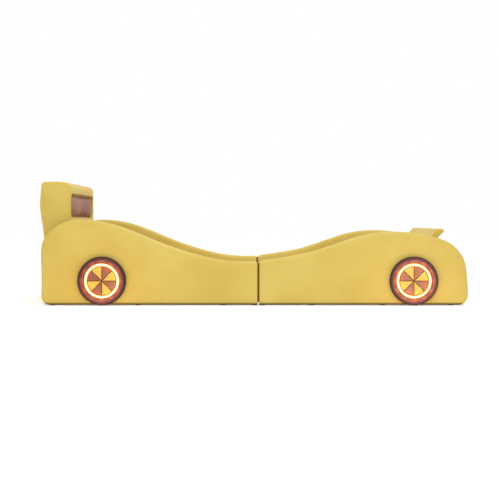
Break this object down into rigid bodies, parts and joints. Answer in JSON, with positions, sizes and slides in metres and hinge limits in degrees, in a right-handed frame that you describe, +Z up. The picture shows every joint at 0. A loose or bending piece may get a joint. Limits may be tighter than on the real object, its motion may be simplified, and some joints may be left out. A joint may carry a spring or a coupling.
{
  "type": "children's car bed",
  "caption": "Upholstered child's bed shaped like a racing car: padded rails with humped tops, thick headboard with a dark screen pad, lip spoiler and light-up wheel discs.",
  "frame": {"origin": "on the floor, at the middle of the bed's length and width", "axes": "+X from the head end to the foot end, +Y to the sleeper's left, +Z up"},
  "size_m": [2.312, 1.232, 0.666],
  "materials": {
    "yellow_leatherette": "semi-gloss yellow upholstery leatherette with fine grain",
    "brown_leatherette": "semi-gloss dark brown upholstery leatherette",
    "plywood": "sanded birch plywood, clear sealed",
    "slat_wood": "bent laminated beech slats, satin",
    "black_steel": "black powder coat, satin",
    "zinc_steel": "zinc plated, satin",
    "webbing": "black woven polypropylene webbing",
    "light_diffuser": "translucent warm diffuser, lit",
    "light_strip": "flexible light strip, lit",
    "black_plastic": "fine moulded texture",
    "button_plastic": "polished button cap",
    "cable_sheath": "smooth cable sheath",
    "glide_plastic": "brown nylon"
  },
  "bodies": {
    "bed_frame": {"rail_pad_head_left": "yellow_leatherette", "rail_board_head_left": "plywood", "tyre_head_left": "brown_leatherette", "light_ring_head_left": "light_diffuser", "rail_pad_head_right": "yellow_leatherette", "rail_board_head_right": "plywood", "tyre_head_right": "brown_leatherette", "light_ring_head_right": "light_diffuser", "rail_pad_foot_left": "yellow_leatherette", "rail_board_foot_left": "plywood", "tyre_foot_left": "brown_leatherette", "light_ring_foot_left": "light_diffuser", "rail_pad_foot_right": "yellow_leatherette", "rail_board_foot_right": "plywood", "tyre_foot_right": "brown_leatherette", "light_ring_foot_right": "light_diffuser", "slat_ledge_left": "black_steel", "slat_ledge_right": "black_steel", "screen_pad": "brown_leatherette", "headboard_cover": "yellow_leatherette", "deck_pad": "yellow_leatherette", "foot_board_pad": "yellow_leatherette", "spoiler_pad": "yellow_leatherette", "hub_pads_yellow": "yellow_leatherette", "hub_pads_brown": "brown_leatherette", "headboard_board": "plywood", "screen_board": "plywood", "foot_board": "plywood", "deck_ribs": "plywood", "spoiler_board": "plywood", "wheel_plates": "plywood", "slats": "slat_wood", "slat_straps": "webbing", "splice_plates": "black_steel", "corner_brackets": "black_steel", "centre_beam_head": "black_steel", "centre_beam_foot": "black_steel", "beam_hangers": "black_steel", "support_legs": "black_steel", "frame_bolts": "zinc_steel", "wood_screws": "zinc_steel", "beam_sleeve": "zinc_steel", "spoiler_studs": "zinc_steel", "floor_glides": "glide_plastic", "light_strips": "light_strip", "light_controller": "black_plastic", "power_inlet": "zinc_steel", "wiring": "cable_sheath"},
    "leveller_foot_1": {"leveller_foot_1": "zinc_steel"},
    "leveller_foot_2": {"leveller_foot_2": "zinc_steel"},
    "leveller_foot_3": {"leveller_foot_3": "zinc_steel"},
    "leveller_nut_1": {"leveller_nut_1": "zinc_steel"},
    "leveller_nut_2": {"leveller_nut_2": "zinc_steel"},
    "leveller_nut_3": {"leveller_nut_3": "zinc_steel"},
    "light_button": {"light_button": "button_plastic"}
  },
  "joints": [
    {"name": "leveller_turn_1", "type": "hinge", "parent": "bed_frame", "child": "leveller_nut_1", "pos_m": [-0.52, 0, 0.0205], "axis": [0, 0, 1], "range_deg": [-974, 1461]},
    {"name": "leveller_raise_1", "type": "slide", "parent": "leveller_nut_1", "child": "leveller_foot_1", "axis": [0, 0, 1], "range_m": [-0.004, 0.006]},
    {"name": "leveller_turn_2", "type": "hinge", "parent": "bed_frame", "child": "leveller_nut_2", "pos_m": [0.03, 0, 0.0205], "axis": [0, 0, 1], "range_deg": [-974, 1461]},
    {"name": "leveller_raise_2", "type": "slide", "parent": "leveller_nut_2", "child": "leveller_foot_2", "axis": [0, 0, 1], "range_m": [-0.004, 0.006]},
    {"name": "leveller_turn_3", "type": "hinge", "parent": "bed_frame", "child": "leveller_nut_3", "pos_m": [0.56, 0, 0.0205], "axis": [0, 0, 1], "range_deg": [-974, 1461]},
    {"name": "leveller_raise_3", "type": "slide", "parent": "leveller_nut_3", "child": "leveller_foot_3", "axis": [0, 0, 1], "range_m": [-0.004, 0.006]},
    {"name": "light_button_press", "type": "slide", "parent": "bed_frame", "child": "light_button", "axis": [1, 0, 0], "range_m": [0, 0.0015], "stiffness_N_per_m": 600, "springref_m": -0.002}
  ],
  "couplings": [
    {"joint": "leveller_turn_1", "follows": "leveller_raise_1", "rad_per_m": 4188.8},
    {"joint": "leveller_turn_2", "follows": "leveller_raise_2", "rad_per_m": 4188.8},
    {"joint": "leveller_turn_3", "follows": "leveller_raise_3", "rad_per_m": 4188.8}
  ]
}
